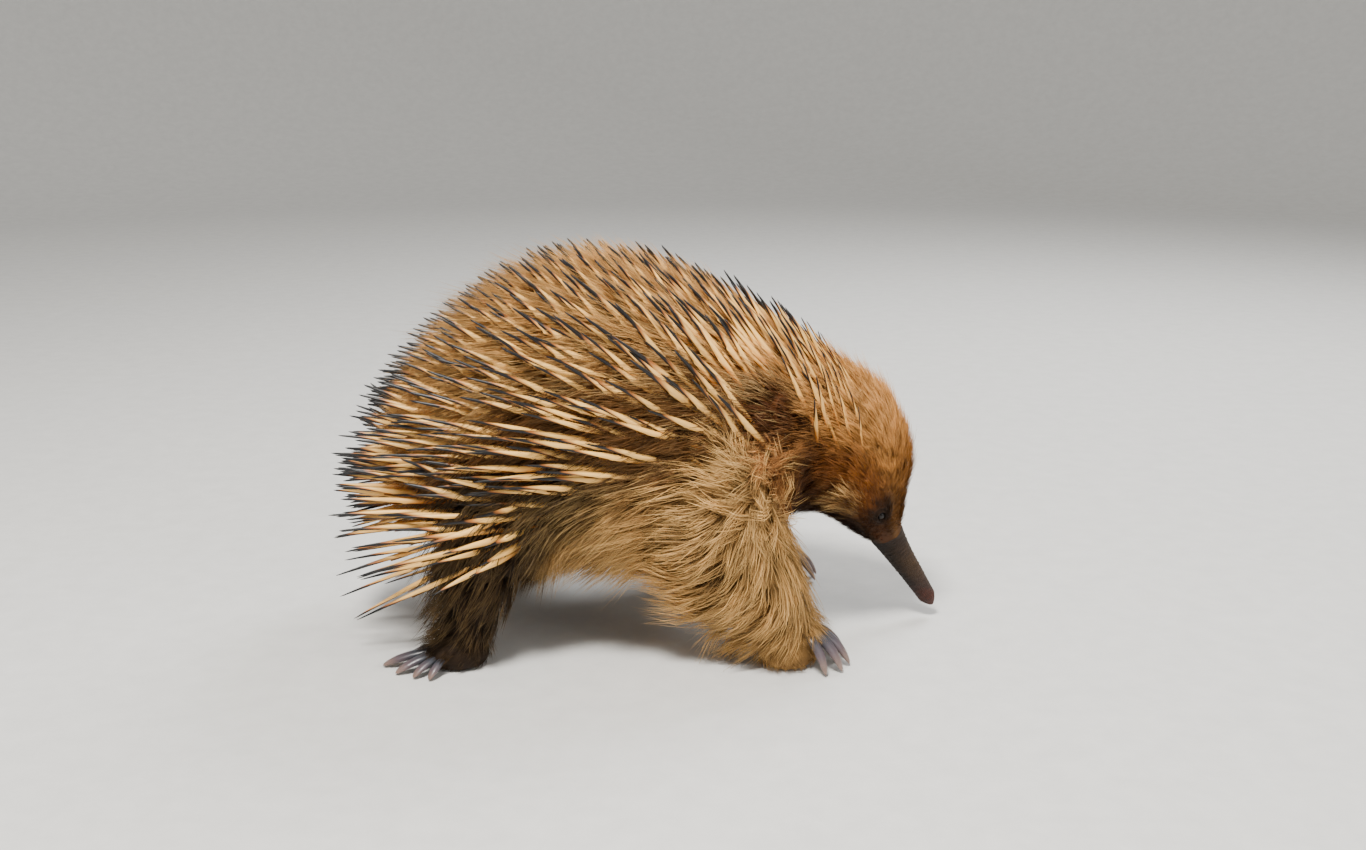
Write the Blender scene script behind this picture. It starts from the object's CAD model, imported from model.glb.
import math
from collections import namedtuple
from functools import partial

import bmesh
import bpy
import numpy as np
from mathutils import Matrix, Vector
from mathutils.bvhtree import BVHTree
from mathutils.kdtree import KDTree


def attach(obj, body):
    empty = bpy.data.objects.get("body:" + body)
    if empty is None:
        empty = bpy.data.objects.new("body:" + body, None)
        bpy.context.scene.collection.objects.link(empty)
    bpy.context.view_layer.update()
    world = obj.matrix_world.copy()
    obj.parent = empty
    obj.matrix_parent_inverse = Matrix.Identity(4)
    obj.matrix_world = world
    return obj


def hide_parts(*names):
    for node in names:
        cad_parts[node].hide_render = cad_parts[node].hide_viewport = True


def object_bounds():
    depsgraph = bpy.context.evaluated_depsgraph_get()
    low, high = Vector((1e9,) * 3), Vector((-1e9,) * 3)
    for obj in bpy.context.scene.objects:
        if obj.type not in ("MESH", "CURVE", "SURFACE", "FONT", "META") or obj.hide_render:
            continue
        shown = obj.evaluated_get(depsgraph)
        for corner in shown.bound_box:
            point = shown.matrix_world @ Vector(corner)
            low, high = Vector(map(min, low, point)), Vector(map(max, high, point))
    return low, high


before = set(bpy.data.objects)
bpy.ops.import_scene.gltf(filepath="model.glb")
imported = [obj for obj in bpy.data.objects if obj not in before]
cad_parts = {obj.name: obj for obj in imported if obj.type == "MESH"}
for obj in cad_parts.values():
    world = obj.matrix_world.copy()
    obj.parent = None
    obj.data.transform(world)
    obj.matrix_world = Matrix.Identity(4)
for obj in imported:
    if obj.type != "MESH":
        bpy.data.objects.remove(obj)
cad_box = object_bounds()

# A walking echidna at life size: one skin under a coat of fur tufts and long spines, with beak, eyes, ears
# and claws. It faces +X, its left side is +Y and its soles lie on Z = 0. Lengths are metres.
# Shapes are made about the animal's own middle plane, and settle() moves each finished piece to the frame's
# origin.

CENTRE = Vector((0.0031, 0.0014, 0))
SIDES = {"left": 1, "right": -1}
FORWARD = np.array((1.0, 0.0, 0.0))
LEFTWARD = np.array((0.0, 1.0, 0.0))
UP = np.array((0.0, 0.0, 1.0))
BOX_MARGIN = 0.0006
SEED = 11
MOST_TRIANGLES = 190000

# Trunk stations from rump to beak: back line x and z, belly line x and z, half width.
TRUNK = np.array(
    (
        (-0.1240, 0.0880, -0.1170, 0.0750, 0.0160),
        (-0.1270, 0.1200, -0.1050, 0.0580, 0.0450),
        (-0.1070, 0.1580, -0.0850, 0.0500, 0.0640),
        (-0.0700, 0.1890, -0.0550, 0.0470, 0.0770),
        (-0.0250, 0.2040, -0.0200, 0.0460, 0.0830),
        (0.0220, 0.1980, 0.0150, 0.0480, 0.0810),
        (0.0580, 0.1830, 0.0450, 0.0520, 0.0720),
        (0.0890, 0.1640, 0.0680, 0.0590, 0.0600),
        (0.1170, 0.1480, 0.0840, 0.0660, 0.0490),
        (0.1400, 0.1290, 0.0980, 0.0680, 0.0410),
        (0.1525, 0.1010, 0.1110, 0.0620, 0.0335),
        (0.1515, 0.0720, 0.1230, 0.0540, 0.0230),
        (0.1525, 0.0545, 0.1350, 0.0458, 0.0108),
    )
)
LAST_STATION = len(TRUNK) - 1

# The trunk's section: how square it is, where 2 is an ellipse, and how far its lower half bulges.
SQUARENESS = 2.25
LOW_BULGE = 0.07

# How far the skin lies inside the trunk's table, at stations along the body, on the back and belly lines.
INSET_STATIONS = (0, 1, 3, 6, 7.5, 8.6, 9.6, 11, 12)
INSET_BACK = (0.0070, 0.0105, 0.0085, 0.0060, 0.0035, 0.0020, 0.0005, 0.0010, 0.0008)
INSET_BELLY = (0.0060, 0.0070, 0.0075, 0.0070, 0.0060, 0.0040, 0.0026, 0.0014, 0.0008)

# The crease behind the jaw: its station, its half width in stations and its depth.
GROOVE_STATION, GROOVE_HALF, GROOVE_DEPTH = 7.85, 0.2, 0.0045

# Legs: limb stations with x, y, z, half size fore and aft, and half size sideways.
LEG_TABLES = {
    "front_right": (
        (0.038, -0.044, 0.116, 0.028, 0.028),
        (0.045, -0.060, 0.094, 0.031, 0.026),
        (0.055, -0.068, 0.070, 0.026, 0.022),
        (0.068, -0.070, 0.048, 0.020, 0.0175),
        (0.0765, -0.066, 0.0300, 0.0155, 0.0150),
    ),
    "front_left": (
        (0.036, 0.044, 0.116, 0.028, 0.028),
        (0.042, 0.058, 0.094, 0.031, 0.026),
        (0.050, 0.064, 0.070, 0.026, 0.022),
        (0.062, 0.064, 0.048, 0.020, 0.0175),
        (0.0700, 0.061, 0.0300, 0.0155, 0.0150),
    ),
    "hind_right": (
        (-0.064, -0.040, 0.105, 0.028, 0.028),
        (-0.072, -0.056, 0.080, 0.028, 0.026),
        (-0.081, -0.064, 0.056, 0.023, 0.021),
        (-0.088, -0.067, 0.036, 0.018, 0.017),
        (-0.0920, -0.066, 0.0240, 0.0150, 0.0150),
    ),
    "hind_left": (
        (-0.048, 0.040, 0.105, 0.028, 0.028),
        (-0.053, 0.056, 0.080, 0.028, 0.026),
        (-0.061, 0.064, 0.056, 0.023, 0.021),
        (-0.067, 0.066, 0.036, 0.018, 0.017),
        (-0.0700, 0.065, 0.0240, 0.0150, 0.0150),
    ),
}

# Headings of the feet, in degrees to the left of straight ahead, and how far the skin lies inside each limb
# station.
FOOT_YAWS = {"front_right": -10, "front_left": 8, "hind_right": 208, "hind_left": 150}
LEG_INSET = (0.0045, 0.0045, 0.0045, 0.0035, 0.0015)

# Palms: half sizes, height of the middle, where the toes end, and the heights of a toe's root and end.
Palm = namedtuple("Palm", "half height toe_reach toe_heights")
PALMS = {
    "front": Palm((0.0165, 0.0170, 0.0150), 0.0095, 0.0185, (0.0205, 0.0190)),
    "hind": Palm((0.0165, 0.0160, 0.0120), 0.0074, 0.0185, (0.0100, 0.0072)),
}
PALM_AHEAD = 0.0050

# Toes: turn from the foot's heading in degrees, reach of the claw past the toe, and half width.
TOES = {
    "front": (
        (-37, 0.0105, 0.0023),
        (-18.5, 0.0145, 0.0027),
        (0, 0.0160, 0.0029),
        (18.5, 0.0145, 0.0027),
        (37, 0.0105, 0.0023),
    ),
    "hind": (
        (-38, 0.0110, 0.0020),
        (-19, 0.0230, 0.0025),
        (0, 0.0180, 0.0023),
        (18, 0.0130, 0.0020),
        (35, 0.0100, 0.0018),
    ),
}
TOE_ROOT = 0.0060
CLAW_SUNK = 0.0028
CLAW_TIP_HEIGHT = 0.0012
CLAW_CLEAR = 0.0005
TAIL_PATH = ((-0.104, 0.088), (-0.112, 0.082), (-0.122, 0.076), (-0.131, 0.069), (-0.137, 0.063))
TAIL_HALF = (0.014, 0.0125, 0.0105, 0.0080, 0.0045)
TAIL_FLATNESS = 0.8

# Beak, eyes and ears. Places along the beak are shares of its length.
BEAK_LENGTH = 0.0515
BEAK_DROP = math.radians(57)
BEAK_ROOT_HALF = (0.0100, 0.0094)
BEAK_TIP_HALF = (0.0044, 0.0044)
LIP_PLACE = 0.88
NOSTRIL_PLACE = 0.90
NOSTRIL_ASIDE = 0.0017
EYE_STATION, EYE_ANGLE = 10.62, math.radians(88)
EYE_RADIUS = 0.0028
EYE_SUNK = 0.0020
LID_REACH = 0.012
EAR_STATION, EAR_ANGLE = 6.76, math.radians(64)
EAR_HALF = (0.0052, 0.0088)

# Skin mesh.
SKIN_VOXEL = 0.0016
SKIN_SMOOTHING = 7

# Colours as seen on a screen.
CREAM = (0.99, 0.76, 0.41)
AMBER = (0.82, 0.50, 0.17)
SPINE_DARK = (0.07, 0.06, 0.06)
BACK_FUR = (0.74, 0.52, 0.27)
DEEP_FUR = (0.30, 0.165, 0.055)
SHADOW_FUR = (0.11, 0.065, 0.02)
CROWN = (0.74, 0.51, 0.25)
CHEEK = (0.50, 0.27, 0.03)
BROW = (0.47, 0.28, 0.03)
MASK = (0.18, 0.11, 0.05)
THROAT = (0.28, 0.16, 0.07)
NECK_FLUFF = (0.82, 0.56, 0.31)
EAR_DARK = (0.32, 0.165, 0.04)
SHOULDER_FUR = (0.76, 0.58, 0.34)
FLANK_FUR = (0.68, 0.51, 0.29)
BELLY_FUR = (0.52, 0.36, 0.17)
HIND_FUR = (0.18, 0.115, 0.045)
TIP_PALE = (0.95, 0.79, 0.52)
BEAK_SKIN = (0.21, 0.15, 0.09)
BEAK_TIP = (0.27, 0.12, 0.08)
HORN_BASE = (0.23, 0.24, 0.27)
HORN_TIP = (0.54, 0.44, 0.39)
SKIN_SHADE, EAR_SHADE = 0.55, 0.8

# Spines at a place along the body and a turn of the skin in degrees, from facing up to facing down: distance
# between roots, length, and rise in degrees above level as seen from the side.
SPINE_X = (-0.13, -0.09, -0.03, 0.04, 0.08, 0.105, 0.125)
SPINE_TURN = (0, 40, 70, 95, 125)
SPINE_SPACING = (
    (0.0070, 0.0070, 0.0066, 0.0056, 0.0050),
    (0.0082, 0.0080, 0.0072, 0.0060, 0.0052),
    (0.0086, 0.0086, 0.0082, 0.0072, 0.0066),
    (0.0078, 0.0080, 0.0082, 0.0082, 0.0080),
    (0.0066, 0.0068, 0.0072, 0.0078, 0.0080),
    (0.0056, 0.0056, 0.0058, 0.0064, 0.0070),
    (0.0056, 0.0056, 0.0058, 0.0064, 0.0070),
)
SPINE_LENGTH = (
    (0.028, 0.031, 0.036, 0.044, 0.055),
    (0.028, 0.033, 0.043, 0.051, 0.058),
    (0.029, 0.037, 0.050, 0.055, 0.056),
    (0.033, 0.041, 0.050, 0.052, 0.048),
    (0.038, 0.042, 0.046, 0.044, 0.040),
    (0.032, 0.035, 0.035, 0.032, 0.026),
    (0.022, 0.026, 0.026, 0.022, 0.018),
)
SPINE_RISE = (
    (20, 14, 3, -12, -34),
    (30, 26, 12, -5, -26),
    (47, 41, 26, 6, -18),
    (50, 45, 35, 20, 6),
    (53, 51, 54, 46, 28),
    (58, 62, 68, 72, 60),
    (60, 66, 74, 78, 64),
)

# Least and most angle between spine and skin, in degrees, at the places of SPINE_X.
SPINE_LEAST_LIFT = (16, 19, 20, 19, 15, 11, 9)
SPINE_MOST_LIFT = (62, 58, 56, 44, 34, 26, 18)

# Low spines of the rear and the haunch are combed to one slope, in degrees above level, at each root height.
SPINE_COMB_Z = (0.055, 0.065, 0.075, 0.088, 0.100)
SPINE_COMB_SLOPE = (-25, -17, -5, 2, 8)

# Half width of the spines along the body, and the lowest height at which they grow.
SPINE_HALF_X = (-0.12, 0.06, 0.09, 0.105, 0.12)
SPINE_HALF = (0.0021, 0.0021, 0.0019, 0.0014, 0.0010)
SPINE_BORDER_X = (
    -0.14, -0.10, -0.06, -0.046, -0.034, -0.0145, -0.008, 0.023, 0.047, 0.072, 0.080, 0.095, 0.12,
)
SPINE_BORDER_Z = (
    0.050, 0.052, 0.062, 0.069, 0.080, 0.095, 0.104, 0.109, 0.115, 0.108, 0.148, 0.118, 0.108,
)
SPINE_FRONT_X = 0.124
SPINE_SUNK = 0.004
SPINE_TRIES = 30000
EAR_CLEAR = 0.0185

# Outline of a spine from root to tip: places along it and shares of its half width.
SPINE_OUTLINE = ((0.2, 0.85), (0.4, 1.0), (0.54, 0.92), (0.63, 0.66), (0.73, 0.47), (0.88, 0.27))
SPINE_ROOT_WIDTH, SPINE_TIP_WIDTH = 0.6, 0.02
SPINE_SIDES, SPINE_RINGS, SPINE_BEND = 6, 11, 0.5

# Regions of the coat: the trunk, the legs in the order of their tables, and the tail.
TRUNK_REGION, FRONT_REGIONS, HIND_REGIONS, TAIL_REGION = 0, (1, 2), (3, 4), 5

# Fur of the trunk: length, and lift in degrees, at stations along it and at angles from back to belly.
FUR_ANGLES = (0, 55, 100, 135, 180)
FUR_STATIONS = (0, 1.5, 3, 5, 6.4, 7.2, 8.2, 9.2, 10.0, 10.8, 11.4, 12)
FUR_LENGTH = (
    (0.026, 0.026, 0.026, 0.026, 0.020),
    (0.033, 0.031, 0.029, 0.030, 0.022),
    (0.038, 0.034, 0.029, 0.036, 0.025),
    (0.033, 0.028, 0.027, 0.040, 0.027),
    (0.026, 0.024, 0.024, 0.034, 0.025),
    (0.024, 0.022, 0.022, 0.025, 0.020),
    (0.023, 0.020, 0.018, 0.017, 0.016),
    (0.022, 0.018, 0.0145, 0.0130, 0.0125),
    (0.0185, 0.0145, 0.0110, 0.0100, 0.0100),
    (0.0130, 0.0095, 0.0066, 0.0070, 0.0068),
    (0.0075, 0.0058, 0.0042, 0.0045, 0.0046),
    (0.0036, 0.0030, 0.0027, 0.0028, 0.0030),
)
FUR_LIFT = (
    (40, 38, 32, 28, 24),
    (47, 36, 24, 22, 24),
    (52, 33, 22, 26, 32),
    (38, 24, 19, 28, 34),
    (22, 18, 17, 22, 26),
    (22, 20, 21, 18, 16),
    (30, 22, 16, 17, 16),
    (24, 17, 13, 15, 15),
    (18, 14, 11, 13, 13),
    (13, 11, 9, 11, 12),
    (11, 9, 8, 10, 11),
    (9, 8, 7, 8, 9),
)

# Fur of the legs from the body to the toes: regions, lengths, lifts in degrees, and how much longer and more
# raised it is on the leg's rear side. Then the length and lift of the tail's fur.
LEG_FUR_STATIONS = (0, 0.4, 0.7, 0.9, 1.0, 1.2)
LEG_FUR = (
    (FRONT_REGIONS, (0.033, 0.034, 0.033, 0.028, 0.021, 0.0075), (13, 14, 15, 16, 17, 18), 0.4, 14),
    (HIND_REGIONS, (0.028, 0.026, 0.021, 0.016, 0.012, 0.0075), (20, 22, 22, 20, 18, 15), 0.3, 10),
)
TAIL_FUR_LENGTH, TAIL_FUR_LIFT = 0.016, 34

# The whorl from which the fur of the shoulder fans out, and the dark crease beside it.
SHOULDER = np.array((0.0725, 0.0, 0.0985))
WHORL_SIZE = 0.016
CREASE_OFFSET, CREASE_SIZE = (0.008, 0, 0.001), 0.012

# Kinds of fur: material slot, tufts, strands in a tuft, steps along a strand, half width of a strand, spread
# of a tuft's roots, and how far its strands draw together at the tip.
Fur = namedtuple("Fur", "kind slot tufts each steps half_width spread hold")
COATS = (
    Fur("back", "torso_coat", 2900, 10, 2, 0.00019, 0.0042, 0.30),
    Fur("side", "torso_coat", 1500, 10, 2, 0.00022, 0.0040, 0.50),
    Fur("low", "torso_coat", 1450, 10, 3, 0.00022, 0.0038, 0.60),
    Fur("neck", "neck_coat", 1400, 10, 2, 0.00018, 0.0032, 0.35),
    Fur("head", "head_fur", 2500, 10, 2, 0.00016, 0.0026, 0.25),
    Fur("whisker", "head_fur", 90, 5, 2, 0.00014, 0.0030, 0.10),
    Fur("tail", "tail_coat", 90, 8, 2, 0.00020, 0.0030, 0.45),
    Fur("arm", "front_fur", 900, 10, 3, 0.00021, 0.0034, 0.60),
    Fur("hind", "hind_fur", 560, 10, 3, 0.00022, 0.0034, 0.60),
    Fur("foot", "foot_skin", 800, 8, 2, 0.00018, 0.0018, 0.45),
)
WHISKER_LONGER, WHISKER_LIFTED = 1.7, 1.9
ROOT_SUNK = 0.001
STRAND_SIDES = 3

# How much of the map's width and height one strand or spine takes.
PATCH = 0.003

# Camera and its frame, which is 1366 pixels wide.
FRAME_WIDTH, FOCAL_PIXELS, SENSOR_WIDTH = 1366, 1500, 36
CAMERA_PLACE = (0.025, -0.827, 0.333)
CAMERA_TILT = 14.7


# Small helpers


def seen(colour):
    """A colour as seen on a screen, turned to the linear values that the shaders take."""
    colour = np.asarray(colour, float)
    return np.where(colour <= 0.04045, colour / 12.92, ((colour + 0.055) / 1.055) ** 2.4)


def unit(vectors):
    return vectors / np.maximum(np.linalg.norm(vectors, axis=-1, keepdims=True), 1e-12)


def ease(value, low, high):
    """0 at low, 1 at high, smooth between and level past both. Low may be the larger one."""
    share = np.clip((np.asarray(value, float) - low) / (high - low), 0, 1)
    return share * share * (3 - 2 * share)


def interpolate(rows, u):
    """Catmull-Rom values of a table of rows at the stations u."""
    rows, u = np.asarray(rows, float), np.asarray(u, float)
    last = len(rows) - 1
    i = np.clip(np.floor(u).astype(int), 0, last - 1)
    t = (u - i)[..., None]
    p0, p1, p2, p3 = (rows[np.clip(i + k, 0, last)] for k in (-1, 0, 1, 2))
    return 0.5 * (
        2 * p1
        + (p2 - p0) * t
        + (2 * p0 - 5 * p1 + 4 * p2 - p3) * t**2
        + (3 * p1 - p0 - 3 * p2 + p3) * t**3
    )


def two_way(rows, columns, table, row, column):
    """Straight-line values of a table between its rows and columns."""
    table = np.asarray(table, float)
    i = np.clip(np.searchsorted(rows, row, side="right") - 1, 0, len(rows) - 2)
    j = np.clip(np.searchsorted(columns, column, side="right") - 1, 0, len(columns) - 2)
    rows, columns = np.asarray(rows, float), np.asarray(columns, float)
    s = np.clip((row - rows[i]) / (rows[i + 1] - rows[i]), 0, 1)
    t = np.clip((column - columns[j]) / (columns[j + 1] - columns[j]), 0, 1)
    return (
        table[i, j] * (1 - s) * (1 - t)
        + table[i + 1, j] * s * (1 - t)
        + table[i, j + 1] * (1 - s) * t
        + table[i + 1, j + 1] * s * t
    )


def around(count):
    """Angles at even steps round a circle."""
    return np.arange(count) * math.tau / count


def fit_in_box(places, aim, length, low, high):
    """Shortens each length so that its tip stays inside the box."""
    with np.errstate(divide="ignore", invalid="ignore"):
        room = np.where(aim > 0, (high - places) / aim, np.where(aim < 0, (low - places) / aim, np.inf))
    return np.minimum(length, room.min(axis=1))


def place_in_scene(name, mesh):
    body = bpy.data.objects.new(name, mesh)
    bpy.context.scene.collection.objects.link(body)
    return body


def mesh_object(name, points, faces):
    mesh = bpy.data.meshes.new(name)
    mesh.from_pydata(np.asarray(points).tolist(), [], [list(face) for face in faces])
    mesh.validate()
    return place_in_scene(name, mesh)


def face_outwards(body):
    mesh = bmesh.new()
    mesh.from_mesh(body.data)
    bmesh.ops.recalc_face_normals(mesh, faces=mesh.faces)
    if mesh.calc_volume(signed=True) < 0:
        bmesh.ops.reverse_faces(mesh, faces=mesh.faces)
    mesh.to_mesh(body.data)
    mesh.free()
    body.data.shade_smooth()
    return body


def grid_faces(rings, sides, start=0):
    """Quads between rings of points that each close round."""
    return [
        (
            start + ring * sides + k,
            start + ring * sides + (k + 1) % sides,
            start + (ring + 1) * sides + (k + 1) % sides,
            start + (ring + 1) * sides + k,
        )
        for ring in range(rings - 1)
        for k in range(sides)
    ]


def end_caps(rings, sides):
    """The two flat ends of a row of rings."""
    return [tuple(reversed(range(sides))), tuple((rings - 1) * sides + k for k in range(sides))]


def tube(path, widths, depths, across, sides):
    """Points and faces of a tube along a path, closed by a flat cap at each end."""
    path, widths, depths = np.asarray(path, float), np.asarray(widths, float), np.asarray(depths, float)
    tangent = unit(np.gradient(path, axis=0))
    side = unit(across - tangent * (tangent @ across)[:, None])
    depth = np.cross(tangent, side)
    turn = around(sides)
    ring = side[:, None] * (widths[:, None] * np.cos(turn))[..., None]
    ring = ring + depth[:, None] * (depths[:, None] * np.sin(turn))[..., None] + path[:, None]
    return ring.reshape(-1, 3), grid_faces(len(path), sides) + end_caps(len(path), sides)


def ball(centre, axes, radii, segments=20, rings=12):
    """Points and faces of an ellipsoid."""
    points = [(0, 0, 1.0)]
    for ring in range(1, rings):
        tilt = math.pi * ring / rings
        for k in range(segments):
            turn = math.tau * k / segments
            points.append((math.sin(tilt) * math.cos(turn), math.sin(tilt) * math.sin(turn), math.cos(tilt)))
    points.append((0, 0, -1.0))
    points = centre + (np.array(points) * radii) @ np.array(axes)
    faces = grid_faces(rings - 1, segments, 1)
    last = len(points) - 1
    for k in range(segments):
        faces.append((0, 1 + k, 1 + (k + 1) % segments))
        faces.append((last, last - segments + (k + 1) % segments, last - segments + k))
    return points, faces


def gather(shapes):
    """Joins pairs of points and faces into one pair."""
    points, faces, start = [], [], 0
    for some_points, some_faces in shapes:
        points.append(some_points)
        faces += [tuple(i + start for i in face) for face in some_faces]
        start += len(some_points)
    return np.vstack(points), faces


# Trunk, legs and feet as tables give them


def trunk_point(u, angle, outset=0.0):
    """Points of the trunk's surface: angle 0 is the back line, and positive angles are the left side."""
    u, angle = np.broadcast_arrays(np.asarray(u, float), np.asarray(angle, float))
    row = interpolate(TRUNK, u)
    zero = np.zeros_like(u)
    back = np.stack((row[..., 0], zero, row[..., 1]), -1)
    belly = np.stack((row[..., 2], zero, row[..., 3]), -1)
    outset = np.broadcast_to(outset, u.shape)
    half_height = np.linalg.norm(back - belly, axis=-1) / 2 + outset
    rise = np.sign(np.cos(angle)) * np.abs(np.cos(angle)) ** (2 / SQUARENESS)
    reach = np.sign(np.sin(angle)) * np.abs(np.sin(angle)) ** (2 / SQUARENESS)
    reach = reach * (1 - LOW_BULGE * np.cos(angle))
    up = unit(back - belly)
    across = ((row[..., 4] + outset) * reach)[..., None] * LEFTWARD
    return (back + belly) / 2 + up * (half_height * rise)[..., None] + across


def trunk_frame(u, angle, outset=0.0):
    """Surface points with the directions forward and outward there."""
    place = trunk_point(u, angle, outset)
    forward = unit(trunk_point(u + 0.05, angle, outset) - trunk_point(u - 0.05, angle, outset))
    sideways = unit(trunk_point(u, angle + 0.02, outset) - trunk_point(u, angle - 0.02, outset))
    outward = unit(np.cross(sideways, forward))
    middle = (trunk_point(u, 0 * angle, 0.0) + trunk_point(u, 0 * angle + math.pi, 0.0)) / 2
    outward = np.where(np.sum(outward * (place - middle), -1, keepdims=True) < 0, -outward, outward)
    return place, forward, outward


def groove(u, degrees):
    """How much the crease behind the jaw shows at each place, from 0 to 1."""
    across = np.exp(-(((u - GROOVE_STATION) / GROOVE_HALF) ** 2))
    return across * ease(degrees, 60, 88) * (1 - ease(degrees, 140, 165))


def skin_inset(u, angle):
    back = np.interp(u, INSET_STATIONS, INSET_BACK)
    belly = np.interp(u, INSET_STATIONS, INSET_BELLY)
    share = (1 + np.cos(angle)) / 2
    degrees = np.degrees(np.abs((np.asarray(angle) + math.pi) % math.tau - math.pi))
    return belly + (back - belly) * share + GROOVE_DEPTH * groove(u, degrees)


def trunk_shell():
    stations = np.concatenate((np.arange(0, LAST_STATION, 0.2), (LAST_STATION,)))
    sides = 48
    u, angle = np.meshgrid(stations, around(sides), indexing="ij")
    points = trunk_point(u, angle, -skin_inset(u, angle))
    points[0] += np.array((skin_inset(0, 0.0), 0, 0))
    return points.reshape(-1, 3), grid_faces(len(stations), sides) + end_caps(len(stations), sides)


def limb_rows(name, count=12):
    rows = np.asarray(LEG_TABLES[name])
    return interpolate(rows, np.linspace(0, len(rows) - 1, count))


def limb_shell(name):
    rows = limb_rows(name)
    inset = np.interp(np.linspace(0, 4, len(rows)), range(5), LEG_INSET)
    return tube(rows[:, :3], rows[:, 3] - inset, rows[:, 4] - inset, FORWARD, 28)


def foot_kind(name):
    return name.split("_")[0]


def heading(yaw):
    turn = math.radians(yaw)
    return np.array((math.cos(turn), math.sin(turn), 0.0))


def palm_centre(name):
    ankle = np.asarray(LEG_TABLES[name][-1])
    middle = np.array((ankle[0], ankle[1], PALMS[foot_kind(name)].height))
    return middle + heading(FOOT_YAWS[name]) * PALM_AHEAD


def toe_line(name, turn):
    """Where a toe leaves the palm, where it ends, and the level direction it points in."""
    kind = PALMS[foot_kind(name)]
    palm, ahead = palm_centre(name), heading(FOOT_YAWS[name] + turn)
    root, end = palm + ahead * TOE_ROOT, palm + ahead * kind.toe_reach
    root[2], end[2] = kind.toe_heights
    return root, end, ahead


def toe_shell(name, turn, half_width):
    root, end, _ = toe_line(name, turn)
    path = np.array([root + (end - root) * share for share in (0, 0.3, 0.6, 0.85)] + [end])
    widths = half_width * np.array((1.3, 1.35, 1.35, 1.28, 0.95))
    path[1:3, 2] += 0.0008
    return tube(path, widths, widths, np.cross(UP, end - root), 14)


def foot_shells(name):
    """Palm, ankle stem and toes, each a closed shape that the skin's remesh will merge."""
    half = PALMS[foot_kind(name)].half
    ahead, palm = heading(FOOT_YAWS[name]), palm_centre(name)
    rows = np.asarray(LEG_TABLES[name])
    shapes = [ball(palm, (ahead, np.cross(UP, ahead), UP), half)]
    top = rows[-1][:3] + (rows[-2][:3] - rows[-1][:3]) * 0.25
    widths, depths = (
        np.linspace(size * 0.97, palm_half * 0.8, 5) - 0.0012
        for size, palm_half in zip(rows[-1][3:], half[:2])
    )
    shapes.append(tube(np.linspace(top, palm, 5), widths, depths, FORWARD, 24))
    shapes += [toe_shell(name, turn, half_width) for turn, _, half_width in TOES[foot_kind(name)]]
    points, faces = gather(shapes)
    points[:, 2] = np.maximum(points[:, 2], 0.0)
    return points, faces


def tail_path():
    return np.array([(x, 0, z) for x, z in TAIL_PATH])


def tail_shell():
    half = np.array(TAIL_HALF) - 0.002
    return tube(tail_path(), half, half * TAIL_FLATNESS, LEFTWARD, 24)


# Beak


def head_end():
    """The middle of the head's flat end and the direction it faces."""
    row = TRUNK[-1]
    back, belly = np.array((row[0], 0, row[1])), np.array((row[2], 0, row[3]))
    return (back + belly) / 2, np.cross(unit(belly - back), LEFTWARD)


def beak_axis(t):
    root, ahead = head_end()
    slope = np.array((math.cos(BEAK_DROP), 0, -math.sin(BEAK_DROP)))
    bend = unit(ahead + (slope - ahead) * min(1, max(0, t * 2)))
    return root + (bend * 0.25 + slope * 0.75) * BEAK_LENGTH * t


def beak_half(t):
    """Half height and half width of the beak at t, with a slight swelling at the lips and a rounded tip."""
    t = max(t, 0)
    round_off = max(0, 1 - (max(0, t - 0.80) / 0.20) ** 2.1) ** 0.7
    waist = 1 - 0.10 * (1 - t) * math.sin(math.pi * t)
    lips = 0.0004 * math.exp(-(((t - LIP_PLACE) / 0.05) ** 2))
    pairs = zip(BEAK_ROOT_HALF, BEAK_TIP_HALF)
    return [((root + (tip - root) * t**0.85) * waist + lips) * round_off for root, tip in pairs]


def beak_stub():
    """The beak's inner end, a little slimmer, which the skin merges with."""
    shares = np.linspace(-0.3, 0.3, 6)
    halves = np.array([beak_half(t) for t in shares]) - 0.0004
    return tube([beak_axis(t) for t in shares], halves[:, 1], halves[:, 0], LEFTWARD, 24)


def beak():
    """A bare tapering tube with wrinkles, a fine mouth line and nostrils sunk in its top near the tip."""
    shares = np.concatenate((np.linspace(-0.28, 0.8, 66), np.linspace(0.81, 0.9995, 36)))
    sides = 56
    halves = np.array([beak_half(t) for t in shares])
    path = np.array([beak_axis(t) for t in shares])
    points, faces = tube(path, halves[:, 1], halves[:, 0], LEFTWARD, sides)
    along = np.repeat(shares, sides)
    turn = np.tile(around(sides), len(shares))
    outward = unit(points - np.repeat(path, sides, axis=0))
    upper = ease(np.where(outward[:, 2] > 0, 1.0, -1.0), -0.5, 0.5)
    coarse = np.sin(along * 150 + 1.7 * np.sin(turn * 3))
    fine = np.sin(along * 97 + 1.3 * np.sin(turn * 2 + 1))
    wrinkle = 0.00017 * (coarse + 0.6 * fine) * ease(along, 0.0, 0.12) * ease(along, 0.9, 0.5)
    ahead, aside = along - NOSTRIL_PLACE, (np.abs(points[:, 1]) - NOSTRIL_ASIDE) / 0.0011
    nostril = np.exp(-((ahead / 0.022) ** 2) - aside**2) * upper * 0.0011
    rim = np.exp(-((ahead / 0.04) ** 2) - (aside / 1.9) ** 2) * upper * 0.00035
    mouth_line = np.exp(-(((outward[:, 2] + 0.32) / 0.07) ** 2)) * ease(along, 0.80, 0.86) * 0.00055
    chin = ease(along, 0.80, 0.9) * ease(-outward[:, 2], 0.3, 0.8) * 0.00025
    points = points + outward * (wrinkle - nostril + rim - mouth_line + chin)[:, None]
    return face_outwards(mesh_object("beak_skin", points, faces))


# Skin


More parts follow.
